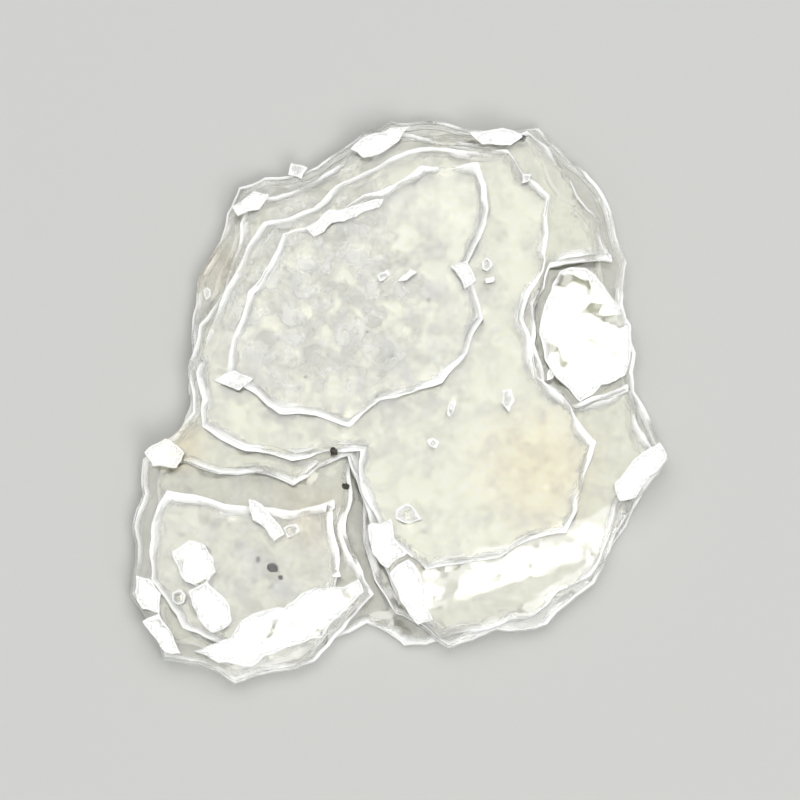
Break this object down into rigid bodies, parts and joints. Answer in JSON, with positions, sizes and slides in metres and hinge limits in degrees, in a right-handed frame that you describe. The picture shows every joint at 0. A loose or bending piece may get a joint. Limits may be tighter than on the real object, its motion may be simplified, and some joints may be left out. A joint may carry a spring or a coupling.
{
  "type": "mica crystal",
  "caption": "Loose flake of pale see-through muscovite mica: a thin book of cleavage sheets with a ragged outline, stepped edges and a cracked side lobe.",
  "frame": {"origin": "on the flat underside, below the middle of the crystal's box", "axes": "+Z across the cleavage sheets, from the underside to the top leaf; +Y along the longer side of the flake, away from the cracked side lobe"},
  "size_m": [0.0066, 0.007, 0.001],
  "materials": {
    "muscovite": "gloss",
    "dark_inclusion": "satin"
  },
  "bodies": {
    "root": {"mica_crystal": "muscovite"}
  },
  "joints": []
}
